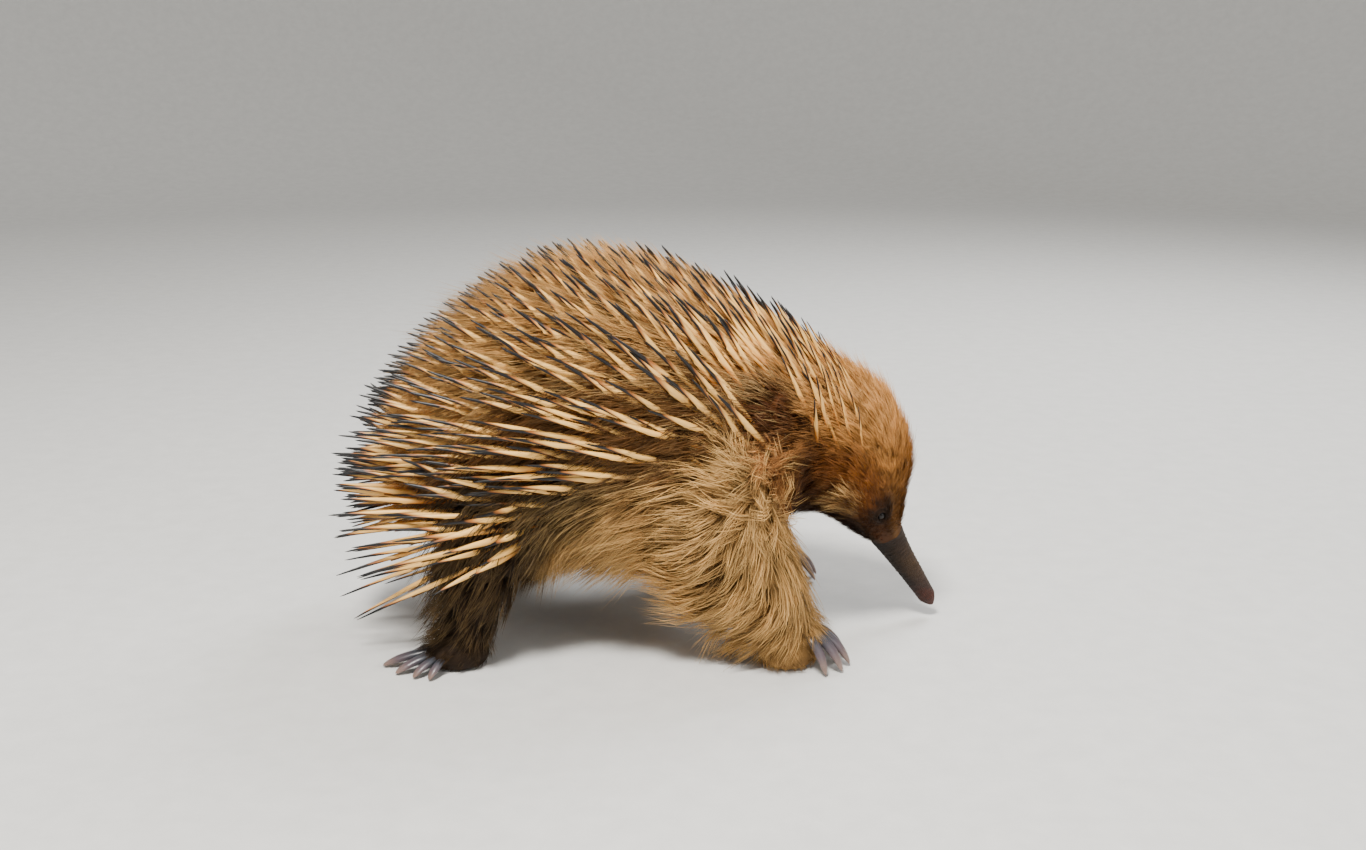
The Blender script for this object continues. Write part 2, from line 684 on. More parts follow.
def upright(place, forward, outward):
    """A place on the head with the directions forward, upward and outward there."""
    upward = unit(np.cross(outward, forward))
    return place, forward, upward if upward[2] >= 0 else -upward, outward


def eye_place(side):
    return upright(*trunk_frame(np.float64(EYE_STATION), np.float64(SIDES[side] * EYE_ANGLE)))


def ear_place(side):
    u, angle = np.float64(EAR_STATION), np.float64(SIDES[side] * EAR_ANGLE)
    return upright(*trunk_frame(u, angle, -skin_inset(u, angle)))


def distance_to(place_of, points):
    """How far each point lies from the nearer eye or ear."""
    return np.min([np.linalg.norm(points - place_of(side)[0], axis=1) for side in SIDES], axis=0)


def applied(body):
    """The body with its modifiers applied."""
    graph = bpy.context.evaluated_depsgraph_get()
    shaped = bpy.data.meshes.new_from_object(body.evaluated_get(graph))
    body.modifiers.clear()
    old, body.data = body.data, shaped
    bpy.data.meshes.remove(old)
    return body


def lid_height(ahead, above):
    """How far the skin stands out round the eye, for the lid's edge, a fold, the socket and the brow."""
    reach = math.hypot(ahead, above)
    edge = 0.0016 * math.exp(-(((reach - EYE_RADIUS * 1.12) / 0.0009) ** 2))
    fold = 0.0009 * math.exp(-(((reach - EYE_RADIUS * 1.9) / 0.0009) ** 2)) * (1.2 if above > 0 else 0.7)
    socket = 0.0022 * math.exp(-((reach / (EYE_RADIUS * 0.8)) ** 4))
    return edge + fold - socket + 0.0007 * math.exp(-((reach / 0.0065) ** 2))


def shape_lids(body):
    """Fine lids and a shallow socket round each eye."""
    mesh = bmesh.new()
    mesh.from_mesh(body.data)
    every_way = {"use_axis_x": True, "use_axis_y": True, "use_axis_z": True}
    for side in SIDES:
        place, forward, upward, outward = (Vector(v) for v in eye_place(side))
        for reach in (0.0125, 0.0085):
            near = [e for e in mesh.edges if all((v.co - place).length < reach for v in e.verts)]
            bmesh.ops.subdivide_edges(mesh, edges=near, cuts=1, use_grid_fill=True)
            ring = [v for v in mesh.verts if (v.co - place).length < reach + 0.001]
            bmesh.ops.smooth_vert(mesh, verts=ring, factor=0.5, **every_way)
        for vertex in mesh.verts:
            offset = vertex.co - place
            if offset.length <= LID_REACH:
                vertex.co += outward * lid_height(offset.dot(forward) / 1.18, offset.dot(upward) / 0.92)
    bmesh.ops.recalc_face_normals(mesh, faces=mesh.faces)
    mesh.to_mesh(body.data)
    mesh.free()
    body.data.shade_smooth()
    return body


def make_skin():
    shells = [trunk_shell(), tail_shell(), beak_stub()]
    for name in LEG_TABLES:
        shells += [limb_shell(name), foot_shells(name)]
    body = mesh_object("skin", *gather(shells))
    remesh = body.modifiers.new("merge", "REMESH")
    remesh.mode = "VOXEL"
    remesh.voxel_size = SKIN_VOXEL
    smooth = body.modifiers.new("smooth", "SMOOTH")
    smooth.factor = 0.5
    smooth.iterations = SKIN_SMOOTHING
    return shape_lids(applied(body))


# Where each place of the coat lies on the body


class Atlas:
    """Sample places of the trunk, legs and tail, each with its region, its station along that region, its
    turn round it and the way that fur lies there."""

    def __init__(self):
        self.samples = []
        self.note_trunk()
        for region, name in enumerate(LEG_TABLES, FRONT_REGIONS[0]):
            self.note_leg(region, name)
            self.note_foot(region, name)
        self.note_tail()
        places, regions, stations, turns, backs = zip(*self.samples)
        self.places, self.backs = np.vstack(places), np.vstack(backs)
        self.regions, self.stations, self.turns = map(np.concatenate, (regions, stations, turns))
        self.tree = KDTree(len(self.places))
        for i, place in enumerate(self.places):
            self.tree.insert(place, i)
        self.tree.balance()

    def note(self, region, places, stations, turns, backs):
        count = len(places)
        stations, turns = np.broadcast_to(stations, count), np.broadcast_to(turns, count)
        backs = np.broadcast_to(backs, (count, 3))
        self.samples.append((places, np.full(count, region), stations, turns, backs))

    def note_trunk(self):
        u = np.arange(0.02, LAST_STATION, 0.08)
        angle = (np.arange(72) + 0.5) * math.tau / 72 - math.pi
        u, angle = (grid.ravel() for grid in np.meshgrid(u, angle, indexing="ij"))
        place, forward, _ = trunk_frame(u, angle, -skin_inset(u, angle))
        self.note(TRUNK_REGION, place, u, angle, -forward)

    def note_leg(self, region, name):
        rows = limb_rows(name, 30)
        down = unit(np.gradient(rows[:, :3], axis=0))
        side = unit(FORWARD - down * down[:, :1])
        depth = np.cross(down, side)
        for way in around(24):
            ring = rows[:, :3] + side * ((rows[:, 3] - 0.003) * math.cos(way))[:, None]
            ring = ring + depth * ((rows[:, 4] - 0.003) * math.sin(way))[:, None]
            self.note(region, ring, np.linspace(0, 1, 30), way - math.pi, down)

    def note_foot(self, region, name):
        palm, ahead = palm_centre(name), heading(FOOT_YAWS[name])
        across = np.cross(UP, ahead)
        for way in around(24):
            for reach, height in ((0.016, 0.004), (0.014, 0.012), (0.008, 0.016), (0.024, 0.010)):
                if reach > 0.02 and math.cos(way) < 0.5:
                    continue
                spot = palm + (ahead * math.cos(way) + across * math.sin(way)) * reach
                spot[2] = height
                self.note(region, spot[None], 1.2, way - math.pi, ahead * 0.5 - UP * 0.6)

    def note_tail(self):
        path, half = tail_path(), np.array(TAIL_HALF)
        for way in around(16):
            ring = path + LEFTWARD * (half * math.cos(way))[:, None]
            ring = ring + UP * (half * TAIL_FLATNESS * math.sin(way))[:, None]
            along = np.linspace(0, 1, len(path))
            self.note(TAIL_REGION, ring, along, way - math.pi, unit(np.gradient(path, axis=0)))

    def nearest(self, points):
        return np.array([self.tree.find(point)[1] for point in points.tolist()])

    def fields(self, index):
        """Region, station, turn and lie of the samples with these numbers."""
        return self.regions[index], self.stations[index], self.turns[index], self.backs[index]


def from_shoulder(points):
    """Offsets from the shoulder's whorl as seen from the side, and their lengths."""
    fan = points * (1, 0, 1) - SHOULDER
    return fan, np.linalg.norm(fan, axis=1)


def whorl(points):
    """1 in the middle of the shoulder's whorl, falling to 0 around it."""
    return np.exp(-((from_shoulder(points)[1] / WHORL_SIZE) ** 2))


def fur_lie(points, normals, region, station, turn, back):
    """The direction in which fur lies along the skin at each place."""
    aim = back.copy()
    angle = np.degrees(np.abs(turn))
    trunk = region == TRUNK_REGION
    droop = np.interp(angle, (0, 50, 95, 150, 180), (0, 0.10, 0.40, 0.30, 0.0))
    droop = droop * np.interp(station, (0, 6.5, 8.5, 9.5), (1, 1, 0.5, 0.0))
    aim[trunk] -= UP * droop[trunk, None]
    fan, reach = from_shoulder(points)
    sweep = 2.2 * ease(reach, 0.033, 0.083) * (1 - ease(fan[:, 0] / reach, 0.0, 0.42))
    fan = unit(fan) - sweep[:, None] * FORWARD
    weight = (1 - ease(reach, 0.06, 0.13)) * ease(angle, 76, 104) * (1 - ease(station, 6.3, 7.0))
    weight *= 1 - ease(points[:, 2], 0.102, 0.118)
    along_arm = np.interp(station, (0, 0.6, 1.0, 1.05), (0.97, 0.95, 0.85, 0.2))
    weight = np.where(np.isin(region, FRONT_REGIONS), along_arm, weight * trunk)
    aim = aim * (1 - weight[:, None]) + unit(fan) * weight[:, None]
    fringe = ease(angle, 100, 120) * (1 - ease(angle, 150, 170))
    fringe = fringe * ease(station, 3.2, 4.4) * (1 - ease(station, 6.2, 6.8))
    aim[:, 2] -= 0.12 * fringe * trunk
    aim[np.isin(region, HIND_REGIONS) & (station < 1.1)] += np.array((-0.45, 0, -0.15))
    aim = aim - normals * np.sum(aim * normals, axis=1, keepdims=True)
    return unit(aim)


def fur_size(normals, region, station, turn):
    """Length and lift of the fur, in metres and radians."""
    angle = np.degrees(np.abs(turn))
    length = two_way(FUR_STATIONS, FUR_ANGLES, FUR_LENGTH, station, angle)
    lift = two_way(FUR_STATIONS, FUR_ANGLES, FUR_LIFT, station, angle)
    rear = ease(-normals[:, 0], -0.2, 0.8)
    for regions, lengths, lifts, longer, raised in LEG_FUR:
        leg = np.isin(region, regions)
        length = np.where(leg, np.interp(station, LEG_FUR_STATIONS, lengths) * (1 + longer * rear), length)
        lift = np.where(leg, np.interp(station, LEG_FUR_STATIONS, lifts) + raised * rear, lift)
    tail = region == TAIL_REGION
    return np.where(tail, TAIL_FUR_LENGTH, length), np.radians(np.where(tail, TAIL_FUR_LIFT, lift))


def fur_density(kind, points, normals, region, station, turn):
    """How densely one kind of fur grows at each place."""
    angle = np.degrees(np.abs(turn))
    bare = ease(distance_to(eye_place, points), 0.0040, 0.0056) * (points[:, 2] > 0.002)
    trunk, front, hind = region == TRUNK_REGION, np.isin(region, FRONT_REGIONS), np.isin(region, HIND_REGIONS)
    body = trunk * (1 - ease(station, 6.6, 7.3))
    along_leg = np.interp(station, (0, 0.5, 1.0, 1.06), (0.8, 1.1, 1.5, 0.0))
    jaw = ease(station, 9.1, 9.4) * ease(station, 10.3, 10.0)
    weight = {
        "back": body * (1 - ease(angle, 58, 80)) * np.interp(station, (0, 1.5, 3), (1.3, 1.1, 1)),
        "side": body * ease(angle, 55, 78) * (1 - ease(angle, 96, 110)),
        "low": body * ease(angle, 94, 108) * np.interp(angle, (130, 180), (1, 0.6)),
        "neck": trunk * ease(station, 6.5, 7.2) * (1 - ease(station, 8.5, 9.1)),
        "head": trunk * ease(station, 8.4, 9.0) * np.interp(station, (9, 10.5, 11.6, 11.9), (1, 1.4, 2.4, 0)),
        "whisker": trunk * jaw * ease(angle, 96, 104) * ease(angle, 132, 124),
        "tail": (region == TAIL_REGION) * 1.0,
        "arm": front * along_leg,
        "hind": hind * along_leg,
        "foot": (front | hind) * (station > 0.97) * (normals[:, 2] > -0.6),
    }[kind]
    return weight * bare * (1 + 2.5 * whorl(points)) + 1e-12


def fur_hang(normals, region, station, turn):
    """How far the tips of the fur hang down and sweep back, as shares of their length."""
    angle = np.degrees(np.abs(turn))
    fringe = ease(angle, 96, 118) * (1 - ease(angle, 152, 172)) * (region == TRUNK_REGION)
    down = fringe * np.interp(station, (3.0, 4.0, 5.0, 5.8, 6.4, 6.6, 7.0), (0, 0.18, 0.3, 0.45, 1.0, 1.0, 0))
    arm = np.isin(region, FRONT_REGIONS) * np.interp(station, (0.3, 0.6, 1.0, 1.1), (0, 1, 1, 0))
    rear = ease(-normals[:, 0], -0.35, 0.5)
    return np.stack((-0.35 * arm * rear, 0 * down, -down - 0.12 * arm), -1)


def fur_paleness(kind, region, station, turn):
    """How pale the tips of one kind of fur are at each place."""
    angle = np.degrees(np.abs(turn))
    if kind == "back":
        return np.full(len(turn), 0.50)
    if kind == "whisker":
        return np.full(len(turn), 0.7)
    ear = 1 - np.exp(-(((station - EAR_STATION) / 0.8) ** 2) - ((angle - math.degrees(EAR_ANGLE)) / 20) ** 2)
    if kind == "side":
        low = 0.26 * ease(angle, 88, 104) * ease(station, 3.6, 4.6)
        return (0.08 + low + 0.2 * ease(station, 5.6, 6.4)) * ear
    if kind == "low":
        return (0.40 - 0.25 * ease(angle, 150, 175)) * np.interp(station, (3.0, 4.2), (0.15, 1))
    if kind in ("neck", "head"):
        jaw = 0.4 * np.exp(-(((station - 9.5) / 0.6) ** 2) - ((angle - 114) / 13) ** 2)
        return jaw + 0.28 * ear * (1 - ease(station, 9.0, 10.2)) * (1 - 0.9 * ease(angle, 40, 75))
    return np.where(region <= FRONT_REGIONS[-1], 0.45, 0.12) * (1 - 0.5 * ease(station, 0.9, 1.1))


def coat_colour(points, region, station, turn):
    """The markings, the same on skin and coat, as linear colours. Each marking lies over those before it."""
    angle = np.degrees(np.abs(turn))
    trunk, front, hind = region == TRUNK_REGION, np.isin(region, FRONT_REGIONS), np.isin(region, HIND_REGIONS)
    behind = 1 - ease(station, 6.4, 7.2)
    low = ease(points[:, 2], 0.108, 0.088) * ease(angle, 80, 100) * trunk
    late = 20 * (1 - ease(station, 2.0, 4.0))
    ahead = points[:, 0] - 0.035 * ease(points[:, 2], 0.074, 0.09)
    shadow = 0.9 * ease(ahead, -0.02, -0.055) * ease(angle, 76, 98) * trunk
    head = ease(station, 7.2, 8.0) * trunk
    fluff = ease(station, 6.2, 6.6) * (1 - ease(station, 7.55, 7.75))
    fluff = fluff * ease(angle, 70, 90) * (1 - ease(angle, 130, 155))
    jowl = np.exp(-(((station - 8.4) / 0.65) ** 2) - ((angle - 114) / 24) ** 2)
    brow = ease(station, 9.4, 10.4) * trunk
    mask = ease(station, 9.9, 10.6) * (1 - 0.3 * ease(station, 10.9, 11.5)) * trunk * ease(angle, 50, 80)
    fan, shoulder = from_shoulder(points)
    crease = np.exp(-((np.linalg.norm(fan - CREASE_OFFSET, axis=1) / CREASE_SIZE) ** 2))
    markings = (
        (DEEP_FUR, 0.85 * ease(angle - late, 38, 74) * (1 - low)),
        (FLANK_FUR, low),
        (BELLY_FUR, ease(angle, 140, 165) * trunk),
        (SHADOW_FUR, shadow),
        (CROWN, head * (1 - ease(angle, 56, 96))),
        (CHEEK, head * ease(angle, 60, 95) * (1 - ease(angle, 112, 135))),
        (THROAT, head * ease(angle, 112, 135)),
        (NECK_FLUFF, fluff * trunk),
        (THROAT, 0.85 * jowl * trunk),
        (THROAT, groove(station, angle) * trunk),
        (BROW, brow * 0.9 * (1 - ease(angle, 40, 80))),
        (MASK, 0.75 * mask),
        (MASK, 0.35 * ease(station, 11.0, 11.6) * trunk),
        (THROAT, 0.7 * crease * ease(angle, 60, 85) * trunk),
        (EAR_DARK, 0.95 * (1 - ease(distance_to(ear_place, points), 0.012, 0.025))),
        (MASK, 1 - ease(distance_to(eye_place, points), 0.004, 0.010)),
        (SHOULDER_FUR, front),
        (FLANK_FUR, front * ease(station, 0.6, 1.1)),
        (SHOULDER_FUR, 0.85 * low * (1 - ease(shoulder, 0.05, 0.10)) * behind),
        (HIND_FUR, hind),
    )
    colour = np.tile(seen(BACK_FUR), (len(points), 1))
    for marking, share in markings:
        colour = colour + (seen(marking) - colour) * share[:, None]
    return colour


# Materials


def feed(tree, node, feeds):
    """Gives a node's sockets, by name or number, a value, an output of a node or a node's first output."""
    for socket, source in feeds.items():
        if isinstance(source, bpy.types.Node):
            source = source.outputs[0]
        if isinstance(source, bpy.types.NodeSocket):
            tree.links.new(source, node.inputs[socket])
        else:
            node.inputs[socket].default_value = source


def add(tree, kind, feeds=None, **settings):
    """A new node with its settings, its sockets fed as feed() does."""
    node = tree.nodes.new(kind)
    for key, value in settings.items():
        setattr(node, key, value)
    feed(tree, node, feeds or {})
    return node


def material(name, roughness, specular=0.5):
    made = bpy.data.materials.new(name)
    made.use_nodes = True
    shader = made.node_tree.nodes["Principled BSDF"]
    shader.inputs["Roughness"].default_value = roughness
    shader.inputs["Specular IOR Level"].default_value = specular
    return made, made.node_tree, shader


def noise(tree, scale, detail):
    place = add(tree, "ShaderNodeTexCoord").outputs["Object"]
    feeds = {"Vector": place, "Scale": scale, "Detail": detail, "Roughness": 0.6}
    return add(tree, "ShaderNodeTexNoise", feeds)


def attribute(tree, name):
    return add(tree, "ShaderNodeAttribute", attribute_name=name).outputs["Fac"]


def ramp(tree, source, stops):
    node = add(tree, "ShaderNodeValToRGB", {"Fac": source})
    while len(node.color_ramp.elements) < len(stops):
        node.color_ramp.elements.new(0.5)
    for element, (place, colour) in zip(node.color_ramp.elements, stops):
        element.position = place
        element.color = (*seen(colour), 1)
    return node


def levels(tree, source, wanted, given=(0, 1)):
    """Moves the given range of a value to the wanted one, and holds it there at both ends."""
    limits = zip(("From Min", "From Max", "To Min", "To Max"), (*given, *wanted))
    return add(tree, "ShaderNodeMapRange", {"Value": source, **dict(limits)})


def math_node(tree, operation, *values):
    return add(tree, "ShaderNodeMath", dict(enumerate(values)), operation=operation)


def scaled(tree, vector, level):
    """A colour or a vector multiplied by a level."""
    return add(tree, "ShaderNodeVectorMath", {0: vector, "Scale": level}, operation="SCALE")


def bump(tree, shader, source, strength, distance):
    feeds = {"Height": source, "Strength": strength, "Distance": distance}
    feed(tree, shader, {"Normal": add(tree, "ShaderNodeBump", feeds)})


def coat_material(name, roughness, variation):
    """Takes each point's own colour and varies it a little from lock to lock."""
    made, tree, shader = material(name, roughness, 0.2)
    colour = add(tree, "ShaderNodeAttribute", attribute_name="coat")
    level = levels(tree, noise(tree, 130, 3), (1 - variation, 1 + variation), (0.3, 0.7))
    feed(tree, shader, {"Base Color": scaled(tree, colour, level)})
    return made


def skin_material():
    made = coat_material("skin_under_coat", 0.75, 0.2)
    tree = made.node_tree
    bump(tree, tree.nodes["Principled BSDF"], noise(tree, 420, 5), 0.5, 0.0006)
    return made


def spine_material():
    """Cream shafts that turn amber and then almost black towards the tip."""
    made, tree, shader = material("spine_horn", 0.4, 0.38)
    place = math_node(tree, "SUBTRACT", attribute(tree, "along"), attribute(tree, "shift"))
    stops = (
        (0.0, (0.48, 0.26, 0.09)),
        (0.24, AMBER),
        (0.37, CREAM),
        (0.56, (1.0, 0.80, 0.46)),
        (0.62, (0.66, 0.40, 0.18)),
        (0.66, SPINE_DARK),
        (0.85, (0.06, 0.065, 0.08)),
        (1.0, (0.11, 0.12, 0.15)),
    )
    colour = ramp(tree, place, stops)
    level = levels(tree, attribute(tree, "tone"), (0.78, 1.12))
    feed(tree, shader, {"Base Color": scaled(tree, colour, level)})
    bump(tree, shader, noise(tree, 900, 3), 0.15, 0.0002)
    return made


def beak_material():
    """Dark leather with fine rings and pores, paler above and reddish at the tip."""
    made, tree, shader = material("beak_leather", 0.6, 0.25)
    place = add(tree, "ShaderNodeTexCoord").outputs["Object"]
    height = add(tree, "ShaderNodeSeparateXYZ", {0: place}).outputs["Z"]
    share = levels(tree, height, (0, 1), (0.012, 0.05))
    sway = math_node(tree, "MULTIPLY_ADD", noise(tree, 160, 5), 0.5, share)
    stops = ((0.22, BEAK_TIP), (0.50, (0.17, 0.12, 0.10)), (0.85, BEAK_SKIN), (1.2, (0.17, 0.125, 0.095)))
    # The height and its clouds sum up to about this, and a ramp takes 0 to 1.
    most = 1.4
    stops = [(stop / most, tone) for stop, tone in stops]
    colour = ramp(tree, math_node(tree, "MULTIPLY", sway, 1 / most), stops)

    def measured(way):
        feeds = {0: place, 1: tuple(way)}
        return add(tree, "ShaderNodeVectorMath", feeds, operation="DOT_PRODUCT").outputs["Value"]

    slope = unit(beak_axis(1.0) - beak_axis(0.5))
    top_way = np.cross(slope, LEFTWARD)
    top_way *= np.sign(top_way[2])
    middle = float(np.dot(beak_axis(0.6) - np.array(CENTRE), top_way))
    lit = levels(tree, measured(top_way), (0.42, 1.45), (middle - 0.005, middle + 0.0065))
    ways = {"X": measured(slope * 1500), "Y": measured(top_way * 260), "Z": measured(LEFTWARD * 260)}
    bands = add(tree, "ShaderNodeCombineXYZ", ways)
    rings = add(tree, "ShaderNodeTexNoise", {"Vector": bands, "Scale": 1.0, "Detail": 3.0})
    streak = levels(tree, rings, (0.75, 1.3), (0.35, 0.65))
    feed(tree, shader, {"Base Color": scaled(tree, colour, math_node(tree, "MULTIPLY", lit, streak))})
    pores = add(tree, "ShaderNodeTexVoronoi", {"Vector": place, "Scale": 1500})
    bump(tree, shader, math_node(tree, "ADD", pores, rings), 0.8, 0.0005)
    return made


def eye_material():
    made, tree, shader = material("eye_gloss", 0.07, 0.3)
    stops = ((0.3, (0.02, 0.015, 0.02)), (0.8, (0.05, 0.04, 0.04)))
    feed(tree, shader, {"Base Color": ramp(tree, noise(tree, 500, 2), stops)})
    return made


def horn_material():
    """Slate horn that turns pinkish and pale towards the tip, with a fine grain."""
    made, tree, shader = material("claw_horn", 0.32)
    stops = ((0.0, (0.17, 0.15, 0.15)), (0.25, HORN_BASE), (0.6, (0.35, 0.30, 0.32)), (1.0, HORN_TIP))
    colour = ramp(tree, attribute(tree, "along"), stops)
    feed(tree, shader, {"Base Color": scaled(tree, colour, levels(tree, noise(tree, 260, 5), (0.7, 1.25)))})
    bump(tree, shader, noise(tree, 700, 6), 0.2, 0.0003)
    return made


def floor_material():
    made, tree, shader = material("pale_floor", 0.8)
    stops = ((0.3, (0.83, 0.83, 0.82)), (0.7, (0.86, 0.86, 0.85)))
    feed(tree, shader, {"Base Color": ramp(tree, noise(tree, 60, 3), stops)})
    return made


# Fur


def colour_points(mesh, colours):
    """Stores the coat's colour on each point of a mesh."""
    values = np.ones((len(mesh.vertices), 4), np.float32)
    values[:, :3] = colours
    mesh.attributes.new("coat", "FLOAT_COLOR", "POINT").data.foreach_set("color", values.ravel())


def store(mesh, name, kind, values):
    """Stores a number or a vector on each point of a mesh."""
    data = mesh.attributes.new(name, kind, "POINT").data
    data.foreach_set("value" if kind == "FLOAT" else "vector", values.astype(np.float32).ravel())


def array_mesh(name, points, triangles, colours, patches):
    """A piece of triangles with a colour on each point and the coat's map."""
    mesh = bpy.data.meshes.new(name)
    mesh.vertices.add(len(points))
    mesh.vertices.foreach_set("co", np.ascontiguousarray(points, np.float32).ravel())
    mesh.loops.add(len(triangles) * 3)
    mesh.loops.foreach_set("vertex_index", np.ascontiguousarray(triangles, np.int32).ravel())
    mesh.polygons.add(len(triangles))
    mesh.polygons.foreach_set("loop_start", np.arange(len(triangles), dtype=np.int32) * 3)
    mesh.update(calc_edges=True)
    colour_points(mesh, colours)
    layer = mesh.uv_layers.new(name="OFBake")
    layer.data.foreach_set("uv", np.ascontiguousarray(patches[triangles.ravel()], np.float32).ravel())
    mesh.shade_smooth()
    return place_in_scene(name, mesh)


def skin_arrays(body):
    mesh = body.data
    mesh.calc_loop_triangles()
    points = np.empty(len(mesh.vertices) * 3, np.float32)
    mesh.vertices.foreach_get("co", points)
    normals = np.empty(len(mesh.vertices) * 3, np.float32)
    mesh.vertex_normals.foreach_get("vector", normals)
    triangles = np.empty(len(mesh.loop_triangles) * 3, np.int32)
    mesh.loop_triangles.foreach_get("vertices", triangles)
    return points.reshape(-1, 3).astype(float), normals.reshape(-1, 3).astype(float), triangles.reshape(-1, 3)


def patch_places(region, station, turn):
    """Where each root lies on a map of the skin: the trunk below, and each limb in a strip above it."""
    across = (turn + math.pi) / math.tau
    trunk = region == TRUNK_REGION
    along_limb = 0.01 + 0.19 * (region - 1) + 0.15 * np.clip(station / 1.25, 0, 1)
    u = np.where(trunk, 0.01 + 0.97 * station / LAST_STATION, along_limb)
    v = np.where(trunk, 0.01 + 0.66 * across, 0.71 + 0.27 * across)
    return np.stack((u, v), -1)


class Coat:
    """Grows tufts over the skin. Each tuft follows the lie, and its strands draw together towards its tip."""

    def __init__(self, skin, atlas, rng):
        self.points, self.normals, self.triangles = skin_arrays(skin)
        self.atlas = atlas
        self.rng = rng
        self.tree = BVHTree.FromPolygons(self.points.tolist(), self.triangles.tolist())
        self.nearest = atlas.nearest(self.points)
        corners = self.points[self.triangles]
        crossed = np.cross(corners[:, 1] - corners[:, 0], corners[:, 2] - corners[:, 0])
        self.areas = np.linalg.norm(crossed, axis=1) / 2

    def fields(self, points):
        return self.atlas.fields(self.atlas.nearest(points))

    def roots(self, count, density):
        """Random places on the skin, more of them where density is higher."""
        centre = self.triangles[:, 0]
        region, station, turn, _ = self.atlas.fields(self.nearest[centre])
        weight = self.areas * density(self.points[centre], self.normals[centre], region, station, turn)
        picks = self.rng.choice(len(weight), count, p=weight / weight.sum())
        shares = self.rng.dirichlet((1, 1, 1), count)
        places = np.einsum("nk,nkd->nd", shares, self.points[self.triangles[picks]])
        normals = unit(np.einsum("nk,nkd->nd", shares, self.normals[self.triangles[picks]]))
        return places, normals

    def follow(self, places, normals, lengths, lifts, lean, steps):
        """Middle lines that follow the lie and rise off the skin, and the way outward at each step."""
        rows, outs = [places - normals * ROOT_SUNK], [normals]
        here, out = places.copy(), normals.copy()
        height = np.zeros(len(places))
        step = lengths / steps
        region, station, turn, back = self.fields(here)
        for k in range(steps):
            aim = fur_lie(here, out, region, station, turn, back)
            aim = aim * np.cos(lean)[:, None] + np.cross(out, aim) * np.sin(lean)[:, None]
            rise = lifts * (1.15 - 0.3 * k)
            height = height + step * np.sin(rise)
            ahead = here + aim * (step * np.cos(rise))[:, None] + out * (step * np.sin(rise))[:, None]
            found = [self.tree.find_nearest(place) for place in ahead.tolist()]
            hits = np.array([hit[0] for hit in found])
            near = np.array([hit[1] for hit in found])
            out = unit(out * 0.45 + near * 0.55)
            gap = np.sum((ahead - hits) * near, axis=1)
            pull = np.where(np.isin(region, FRONT_REGIONS), 0.2, 0.55)
            here = ahead + near * ((height - gap) * np.where(gap < height, 1.0, pull))[:, None]
            rows.append(here)
            outs.append(out)
        return np.stack(rows, 1), np.stack(outs, 1)

    def fan_out(self, fur, tuft, lines, outs, length, hang):
        """Each strand's own line, from its tuft's middle line."""
        rng, count = self.rng, len(tuft)
        aim = unit(lines[:, 1] - lines[:, 0])
        across = unit(np.cross(outs[:, 0], aim))
        reach = np.minimum(fur.spread, length * 0.35)[tuft]
        offset = across[tuft] * (rng.normal(0, 0.6, count) * reach)[:, None]
        offset = offset + aim[tuft] * (rng.normal(0, 0.8, count) * reach)[:, None]
        share = np.linspace(0, 1, fur.steps + 1)[None, :, None]
        own = rng.uniform(0.72, 1.1, count)[:, None, None]
        hold = np.clip(fur.hold * rng.uniform(0.5, 1.2, count), 0, 0.95)[:, None, None]
        path = lines[tuft]
        root = path[:, :1]
        path = root + (path - root) * own
        path = path + offset[:, None] * (1 - hold * share)
        path = path + hang[tuft, None] * share**2
        stray = rng.normal(0, 1, (count, 3)) * (length[tuft] * 0.05)[:, None]
        path = path + stray[:, None] * share**1.5
        stand = (rng.normal(0, 0.05, count) * length[tuft])[:, None, None]
        return path + outs[tuft] * stand * share

    def strands(self, fur):
        """Lines, widths, colours and patches of one kind of fur's strands. Whiskers stand out further."""
        rng, stiff = self.rng, fur.kind == "whisker"
        places, normals = self.roots(fur.tufts, partial(fur_density, fur.kind))
        region, station, turn, _ = self.fields(places)
        length, lift = fur_size(normals, region, station, turn)
        length = length * rng.uniform(0.75, 1.15, fur.tufts) * (WHISKER_LONGER if stiff else 1.0)
        lift = lift * rng.uniform(0.8, 1.2, fur.tufts) * (WHISKER_LIFTED if stiff else 1.0)
        lean = rng.normal(0, 1, fur.tufts) * (0.16 + 0.7 * whorl(places))
        lines, outs = self.follow(places, normals, length, lift, lean, fur.steps)
        tuft = np.repeat(np.arange(fur.tufts), fur.each)
        count = len(tuft)
        hang = fur_hang(normals, region, station, turn) * length[:, None]
        path = self.fan_out(fur, tuft, lines, outs, length, hang)
        trunk = region == TRUNK_REGION
        contrast = np.where(trunk, np.interp(station, (6.5, 8.0), (0.16, 0.08)), 0.19)
        tone = (1 + contrast * rng.normal(0, 1, fur.tufts))[tuft] * rng.normal(1, 0.15, count)
        half = fur.half_width * rng.uniform(0.75, 1.25, count) * np.clip(length[tuft] / 0.02, 0.62, 1.2)
        pale = fur_paleness(fur.kind, region, station, turn)[tuft]
        return {
            "path": path,
            "out": outs[tuft],
            "half": half,
            "colour": coat_colour(places, region, station, turn)[tuft],
            "tone": tone,
            "pale": np.clip(pale * rng.uniform(0.3, 1.6, count), 0, 1),
            "patch": patch_places(region, station, turn)[tuft],
            "side": rng.uniform(0, 1, count),
        }


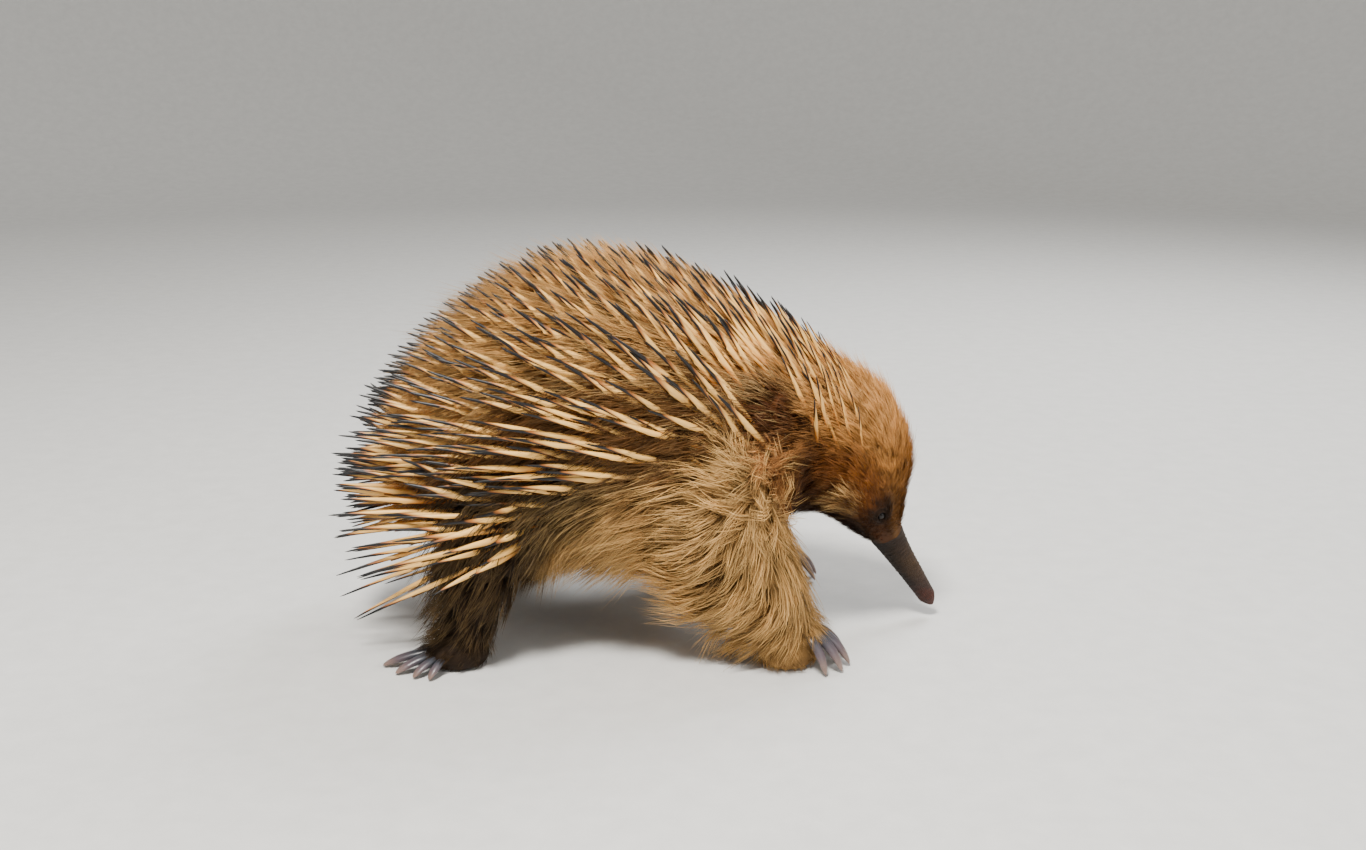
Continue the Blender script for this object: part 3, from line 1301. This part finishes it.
def strand_cell(rows):
    """The triangles of one strand: sides between its rings, a point at the tip and a cap at the root."""
    cell = []
    for a in range(0, (rows - 2) * STRAND_SIDES, STRAND_SIDES):
        b = a + STRAND_SIDES
        for k in range(STRAND_SIDES):
            j = (k + 1) % STRAND_SIDES
            cell += [(a + k, b + j, a + j), (a + k, b + k, b + j)]
    last, tip = (rows - 2) * STRAND_SIDES, (rows - 1) * STRAND_SIDES
    cell += [(last + k, tip, last + (k + 1) % STRAND_SIDES) for k in range(STRAND_SIDES)]
    cell.append(tuple(range(STRAND_SIDES)))
    return np.array(cell)[:, ::-1]


def strand_piece(name, strands, low, high):
    """One mesh of closed three-sided strands that taper to a point."""
    path = strands["path"]
    count, rows = path.shape[:2]
    root = path[:, 0]
    room = fit_in_box(root, path[:, -1] - root, np.ones(count), low, high)
    path = root[:, None] + (path - root[:, None]) * np.maximum(room, 0.2)[:, None, None]
    path = np.clip(path, low, high)
    tangent = np.empty_like(path)
    tangent[:, 1:-1] = path[:, 2:] - path[:, :-2]
    tangent[:, 0] = path[:, 1] - path[:, 0]
    tangent[:, -1] = path[:, -1] - path[:, -2]
    tangent = unit(tangent)
    side = unit(np.cross(strands["out"], tangent))
    depth = np.cross(tangent, side)
    share = np.linspace(0, 1, rows)
    half = strands["half"][:, None] * np.interp(share, (0, 0.35, 0.75, 1), (0.8, 1, 0.72, 0.5))[None]
    turns = math.tau * (np.arange(STRAND_SIDES) + 0.25) / STRAND_SIDES
    wide = side[:, :, None] * np.cos(turns)[None, None, :, None]
    deep = depth[:, :, None] * (0.6 * np.sin(turns))[None, None, :, None]
    rings = path[:, :-1, None] + (wide + deep)[:, :-1] * half[:, :-1, None, None]
    points = np.concatenate((rings.reshape(count, -1, 3), path[:, -1:]), axis=1)
    each = points.shape[1]
    triangles = (strand_cell(rows)[None] + (np.arange(count) * each)[:, None, None]).reshape(-1, 3)
    along = np.concatenate((np.repeat(share[:-1], STRAND_SIDES), (1.0,)))
    colour = strands["colour"] * np.clip(strands["tone"], 0.55, 1.5)[:, None]
    depth_shade = np.interp(along, (0, 0.25, 0.6, 1.0), (0.25, 0.52, 0.95, 1.12))
    colour = colour[:, None] * depth_shade[None, :, None]
    pale = strands["pale"][:, None] * np.interp(along, (0, 0.5, 1.0), (0, 0.25, 1.0))[None]
    colour = colour + (seen(TIP_PALE)[None, None] - colour) * pale[..., None]
    spot = np.stack(np.broadcast_arrays(strands["side"][:, None], along[None]), -1)
    patch = strands["patch"][:, None] + PATCH * spot
    colour = np.clip(colour, 0, 1).reshape(-1, 3)
    return array_mesh(name, points.reshape(-1, 3), triangles, colour, patch.reshape(-1, 2))


# Spines


def spread_out(places, spacing, rng):
    """The indices of places that keep their own spacing from each other, taken in random order."""
    cell_size, cells, kept = spacing.max(), {}, []
    for i in rng.permutation(len(places)):
        place = places[i]
        cell = tuple(np.floor(place / cell_size).astype(int))
        near = (
            j
            for x in (-1, 0, 1)
            for y in (-1, 0, 1)
            for z in (-1, 0, 1)
            for j in cells.get((cell[0] + x, cell[1] + y, cell[2] + z), ())
        )
        if all(np.sum((place - places[j]) ** 2) >= ((spacing[i] + spacing[j]) / 2) ** 2 for j in near):
            cells.setdefault(cell, []).append(i)
            kept.append(i)
    return np.array(kept)


def facing(normals):
    """How far the skin is turned from facing up to facing down, in degrees."""
    return np.degrees(np.arctan2(np.abs(normals[:, 1]), normals[:, 2]))


def spiny(points, normals, region, station, turn):
    """1 where spines may grow, and next to nothing elsewhere."""
    high = points[:, 2] > np.interp(points[:, 0], SPINE_BORDER_X, SPINE_BORDER_Z)
    clear = distance_to(ear_place, points) > EAR_CLEAR
    clear = clear & (points[:, 0] < SPINE_FRONT_X) & (normals[:, 2] > -0.75)
    haunch = np.isin(region, HIND_REGIONS) & (station < 0.5)
    return (high & clear & (np.isin(region, (TRUNK_REGION, TAIL_REGION)) | haunch)).astype(float) + 1e-9


def spine_places(coat, rng):
    """The spines' roots, with the skin's normals and regions there."""
    places, normals = coat.roots(SPINE_TRIES, spiny)
    region, station, turn, _ = coat.fields(places)
    ok = spiny(places, normals, region, station, turn) > 0.5
    places, normals, region = places[ok], normals[ok], region[ok]
    spacing = two_way(SPINE_X, SPINE_TURN, SPINE_SPACING, places[:, 0], facing(normals))
    kept = spread_out(places, spacing, rng)
    return places[kept], normals[kept], region[kept]


def spine_aims(places, normals, region, rng):
    """The spines' directions, and which of them lie as they should."""
    forward, turned, count = places[:, 0], facing(normals), len(places)
    rise = np.radians(two_way(SPINE_X, SPINE_TURN, SPINE_RISE, forward, turned))
    aim = np.stack((-np.cos(rise), np.zeros(count), np.sin(rise)), -1)
    limits = (SPINE_LEAST_LIFT, SPINE_MOST_LIFT)
    least, most = (np.radians(np.interp(forward, SPINE_X, degrees)) for degrees in limits)
    lift = np.clip(np.arcsin(np.clip(np.sum(aim * normals, axis=1), -1, 1)), least, most)
    lift = lift + rng.normal(0, 0.05, count)
    along = unit(aim - normals * np.sum(aim * normals, axis=1, keepdims=True))
    sway = rng.normal(0, 0.08, count)
    along = along * np.cos(sway)[:, None] + np.cross(normals, along) * np.sin(sway)[:, None]
    aim = along * np.cos(lift)[:, None] + normals * np.sin(lift)[:, None]
    slope = np.arctan2(aim[:, 2], -aim[:, 0])
    wanted = np.radians(np.interp(places[:, 2], SPINE_COMB_Z, SPINE_COMB_SLOPE)) + rng.normal(0, 0.07, count)
    outer = np.maximum(ease(turned, 55, 75), region >= HIND_REGIONS[0])
    share = ease(places[:, 2], 0.115, 0.092) * ease(forward, 0.03, -0.02) * outer
    slope = slope + (wanted - slope) * share
    flat = np.hypot(aim[:, 0], aim[:, 2])
    combed = np.stack((-flat * np.cos(slope), aim[:, 1], flat * np.sin(slope)), -1)
    clear = np.sum(combed * normals, axis=1) > 0.1
    aim = np.where(clear[:, None], combed, aim)
    rearward = (aim[:, 0] < -0.5) | (forward > 0.05)
    return aim, rearward & (clear | (share < 0.5))


def spine_roots(coat, rng):
    """Root places, normals, directions, lengths and half widths of the spines."""
    places, normals, region = spine_places(coat, rng)
    aim, kept = spine_aims(places, normals, region, rng)
    forward, count = places[:, 0], len(places)
    lowest = ease(places[:, 2], 0.088, 0.064) * ease(forward, -0.02, -0.05)
    length = two_way(SPINE_X, SPINE_TURN, SPINE_LENGTH, forward, facing(normals))
    length = length * rng.uniform(0.85, 1.1, count)
    length = length + 0.007 * ease(-normals[:, 0], 0.5, 0.9) + 0.016 * lowest
    half = np.interp(forward, SPINE_HALF_X, SPINE_HALF) * rng.uniform(0.82, 1.12, count) * (1 - 0.2 * lowest)
    return [values[kept] for values in (places, normals, aim, length, half)]


def spine_tree():
    """A node tree that sets one tapering spine on each point, turned along its aim and scaled to its size."""
    tree = bpy.data.node_groups.new("grow_spines", "GeometryNodeTree")
    inputs = {"Roots": "Geometry", "Sides": "Int", "Rings": "Int", "Bend": "Float", "Horn": "Material"}
    for name, kind in inputs.items():
        tree.interface.new_socket(name, in_out="INPUT", socket_type=f"NodeSocket{kind}")
    tree.interface.new_socket("Spines", in_out="OUTPUT", socket_type="NodeSocketGeometry")
    given = tree.nodes.new("NodeGroupInput").outputs

    def named(name, kind):
        return add(tree, "GeometryNodeInputNamedAttribute", {"Name": name}, data_type=kind)

    def kept(geometry, name, value, kind, domain):
        feeds = {"Geometry": geometry, "Name": name, "Value": value}
        return add(tree, "GeometryNodeStoreNamedAttribute", feeds, data_type=kind, domain=domain)

    middle = add(tree, "ShaderNodeCombineXYZ", {"X": given["Bend"], "Z": 0.5})
    ends = {"Start": (0, 0, 0), "Middle": middle, "End": (0, 0, 1), "Resolution": given["Rings"]}
    line = add(tree, "GeometryNodeCurveQuadraticBezier", ends)
    share = add(tree, "GeometryNodeSplineParameter")
    profile = add(tree, "ShaderNodeFloatCurve", {"Value": share})
    curve = profile.mapping.curves[0]
    for place, width in SPINE_OUTLINE:
        curve.points.new(place, width)
    curve.points[0].location = (0, SPINE_ROOT_WIDTH)
    curve.points[-1].location = (1, SPINE_TIP_WIDTH)
    profile.mapping.update()
    ring = add(tree, "GeometryNodeCurvePrimitiveCircle", {"Radius": 1.0, "Resolution": given["Sides"]})
    shaft = {
        "Curve": kept(line, "along", share, "FLOAT", "POINT"),
        "Profile Curve": ring,
        "Scale": profile,
        "Fill Caps": True,
    }
    turn = add(tree, "FunctionNodeAlignRotationToVector", {"Vector": named("aim", "FLOAT_VECTOR")}, axis="Z")
    grown = {
        "Points": given["Roots"],
        "Instance": add(tree, "GeometryNodeCurveToMesh", shaft),
        "Rotation": turn,
        "Scale": named("size", "FLOAT_VECTOR"),
    }
    real = add(tree, "GeometryNodeRealizeInstances", {0: add(tree, "GeometryNodeInstanceOnPoints", grown)})
    spot = scaled(tree, add(tree, "ShaderNodeCombineXYZ", {"X": 0.5, "Y": named("along", "FLOAT")}), PATCH)
    total = add(tree, "ShaderNodeVectorMath", {0: named("patch", "FLOAT_VECTOR"), 1: spot}, operation="ADD")
    mapped = kept(real, "OFBake", total, "FLOAT2", "CORNER")
    smooth = add(tree, "GeometryNodeSetShadeSmooth", {"Geometry": mapped})
    painted = add(tree, "GeometryNodeSetMaterial", {"Geometry": smooth, "Material": given["Horn"]})
    add(tree, "NodeGroupOutput", {"Spines": painted})
    return tree


def socket_key(tree, name):
    sockets = (item for item in tree.interface.items_tree if item.in_out == "INPUT")
    return next(item.identifier for item in sockets if item.name == name)


def grow_spines(coat, rng, horn, low, high):
    places, normals, aim, length, half = spine_roots(coat, rng)
    base = places - aim * SPINE_SUNK
    length = fit_in_box(base, aim, length + SPINE_SUNK, low, high)
    region, station, turn, _ = coat.fields(places)
    mesh = bpy.data.meshes.new("spine_roots")
    mesh.vertices.add(len(base))
    mesh.vertices.foreach_set("co", base.astype(np.float32).ravel())
    store(mesh, "aim", "FLOAT_VECTOR", aim)
    store(mesh, "size", "FLOAT_VECTOR", np.stack((half, half, length), -1))
    patch = np.concatenate((patch_places(region, station, turn), np.zeros((len(base), 1))), axis=1)
    store(mesh, "patch", "FLOAT_VECTOR", patch)
    low_rear = ease(-places[:, 0], 0.02, 0.10) * ease(facing(normals), 80, 115)
    shift = rng.normal(0.0, 0.04, len(base)) + 0.08 * low_rear + 0.06 * ease(places[:, 0], 0.06, 0.09)
    store(mesh, "shift", "FLOAT", shift)
    store(mesh, "tone", "FLOAT", rng.uniform(0, 1, len(base)) - 0.7 * ease(places[:, 0], 0.07, 0.10))
    body = place_in_scene("spines", mesh)
    tree = spine_tree()
    grow = body.modifiers.new("grow", "NODES")
    grow.node_group = tree
    values = {"Sides": SPINE_SIDES, "Rings": SPINE_RINGS, "Bend": SPINE_BEND, "Horn": horn}
    for name, value in values.items():
        grow[socket_key(tree, name)] = value
    return applied(body)


# Eyes, ears and claws


def eyeball(side):
    place, forward, upward, outward = eye_place(side)
    centre = place - outward * EYE_SUNK
    points, faces = ball(centre, (forward, upward, outward), (EYE_RADIUS,) * 3, 32, 20)
    bulge = unit(points - centre) @ outward
    points = points + outward * (0.00035 * ease(bulge, 0.55, 1.0))[:, None]
    return face_outwards(mesh_object(f"eyeball_{side}", points, faces))


def ear_outline(share, stand):
    """Reach and height of the cup's skin, from its foot over the rim to the bottom of the slit."""
    if share < 0.5:
        return 1.12 - 0.20 * share * 2, -0.002 + (stand + 0.002) * math.sin(share * math.pi)
    inner = (share - 0.5) * 2
    return 0.92 - 0.80 * inner**0.8, stand * math.cos(inner * math.pi / 2) - 0.003 * inner


def ear_cup(side):
    """A soft rim of skin round a deep slit, taller than it is long."""
    place, forward, upward, outward = ear_place(side)
    spokes, across = 40, 14
    points, faces = [], []
    for i in range(spokes):
        turn = math.tau * i / spokes
        spoke = forward * math.cos(turn) * EAR_HALF[0] + upward * math.sin(turn) * EAR_HALF[1]
        stand = 0.0022 + 0.0020 * (0.5 - 0.5 * math.cos(turn))
        after = (i + 1) % spokes
        for k in range(across):
            reach, height = ear_outline(k / (across - 1), stand)
            points.append(place + spoke * reach + outward * height)
            if k:
                faces.append((i * across + k - 1, after * across + k - 1, after * across + k, i * across + k))
    inner = [i * across + across - 1 for i in range(spokes)]
    outer = [i * across for i in range(spokes)]
    faces += [tuple(reversed(inner)), tuple(outer)]
    return face_outwards(mesh_object(f"ear_cup_{side}", np.array(points), faces))


def claw(name, number):
    """A claw that curves from its toe down to just above the ground, flat beneath and rounded over."""
    turn, reach, half_width = TOES[foot_kind(name)][number - 1]
    root, end, ahead = toe_line(name, turn)
    start = end - unit(end - root) * CLAW_SUNK
    tip, knuckle = end + ahead * reach, end + ahead * reach * 0.6
    tip[2], knuckle[2] = CLAW_TIP_HEIGHT, end[2] * 0.8
    shares = np.linspace(0, 1, 18)
    path = np.array([start * (1 - t) ** 2 + knuckle * (2 * t * (1 - t)) + tip * t**2 for t in shares])
    widths = half_width * np.interp(shares, (0, 0.25, 0.6, 0.85, 0.97, 1), (1.15, 1.38, 1.3, 0.9, 0.5, 0.12))
    depths = half_width * np.interp(shares, (0, 0.3, 0.6, 0.85, 0.97, 1), (0.85, 0.95, 0.8, 0.5, 0.25, 0.06))
    path[:, 2] = np.maximum(path[:, 2], depths + CLAW_CLEAR)
    sides = 16
    points, faces = tube(path, widths, depths, np.cross(UP, ahead), sides)
    body = face_outwards(mesh_object(f"{name}_nail_{number}", points, faces))
    store(body.data, "along", "FLOAT", np.repeat(shares, sides))
    return body


# Setting


def settle(body, slot, *nodes):
    """Moves a finished piece to the frame's origin and ties it to the body and to what it stands for."""
    body.data.transform(Matrix.Translation(-CENTRE))
    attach(body, "root")
    if nodes:
        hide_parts(*nodes)


def paint(body, made):
    body.data.materials.clear()
    body.data.materials.append(made)
    return body


def light(name, place, target, size, power, colour=(1, 1, 1)):
    lamp = bpy.data.lights.new(name, "AREA")
    lamp.shape = "DISK"
    lamp.size = size
    lamp.energy = power
    lamp.color = colour
    body = place_in_scene(name, lamp)
    body.location = place
    body.rotation_euler = (Vector(target) - Vector(place)).to_track_quat("-Z", "Y").to_euler()


def studio():
    """A pale floor, soft lights and the camera."""
    sides, bend = 96, np.linspace(0, math.pi / 2, 12)
    profile = [(0.4, 0.0), (1.2, 0.0)] + [(2.2 + math.sin(t), 1 - math.cos(t)) for t in bend] + [(3.2, 1.3)]
    points = np.array([(r * math.cos(t), r * math.sin(t), z) for r, z in profile for t in around(sides)])
    faces = [face[::-1] for face in grid_faces(len(profile), sides)]
    floor = mesh_object("floor", points, faces + [tuple(range(sides))])
    floor.data.shade_smooth()
    paint(floor, floor_material())
    light("key", (-0.2, -0.7, 1.45), (0, 0, 0.08), 0.4, 45, (1.0, 0.96, 0.90))
    light("fill", (1.2, -0.9, 0.7), (0, 0, 0.1), 1.2, 8, (1.0, 0.98, 0.95))
    light("rim", (0.7, 0.9, 1.2), (0, 0, 0.12), 0.8, 20)
    world = bpy.data.worlds.new("studio")
    world.use_nodes = True
    background = world.node_tree.nodes["Background"]
    feed(world.node_tree, background, {"Color": (0.92, 0.90, 0.88, 1), "Strength": 0.42})
    bpy.context.scene.world = world
    lens = bpy.data.cameras.new("camera")
    lens.sensor_width = SENSOR_WIDTH
    lens.lens = SENSOR_WIDTH * FOCAL_PIXELS / FRAME_WIDTH
    lens.clip_start = 0.01
    camera = place_in_scene("camera", lens)
    camera.location = Vector(CAMERA_PLACE) - CENTRE
    camera.rotation_euler = (math.radians(90 - CAMERA_TILT), 0, 0)
    bpy.context.scene.camera = camera


def grow_fur(coat, low, high):
    made = coat_material("fur", 0.55, 0.14)
    for fur in COATS:
        strands = coat.strands(fur)
        count = fur.tufts * fur.each
        triangles = count * (fur.steps * 2 * STRAND_SIDES - 2)
        shares = np.array_split(np.arange(count), math.ceil(triangles / MOST_TRIANGLES))
        for number, share in enumerate(shares, 1):
            some = {key: values[share] for key, values in strands.items()}
            settle(paint(strand_piece(f"fur_{fur.kind}_{number}", some, low, high), made), fur.slot)


def dress():
    low, high = (np.array(corner) + np.array(CENTRE) for corner in cad_box)
    low, high = low + BOX_MARGIN, high - BOX_MARGIN
    rng = np.random.default_rng(SEED)
    skin = make_skin()
    coat = Coat(skin, Atlas(), rng)
    region, station, turn, _ = coat.atlas.fields(coat.nearest)
    colour_points(skin.data, coat_colour(coat.points, region, station, turn) * SKIN_SHADE)
    paint(skin, skin_material())
    spines = grow_spines(coat, rng, spine_material(), low, high)
    grow_fur(coat, low, high)
    legs = [f"{name}_{part}" for name in LEG_TABLES for part in ("leg", "foot")]
    settle(skin, "torso_coat", "torso", "neck", "head", "tail", *legs)
    settle(spines, "torso_coat")
    settle(paint(beak(), beak_material()), "beak_skin", "beak")
    gloss, horn, leather = eye_material(), horn_material(), skin_material()
    for side in SIDES:
        settle(paint(eyeball(side), gloss), "eye", f"eye_{side}")
        cup = paint(ear_cup(side), leather)
        colour_points(cup.data, seen(EAR_DARK) * EAR_SHADE)
        settle(cup, "ear_skin", f"ear_{side}")
    for name in LEG_TABLES:
        for number in range(1, 6):
            settle(paint(claw(name, number), horn), "horn", f"{name}_claw_{number}")


dress()
studio()
bpy.context.view_layer.update()
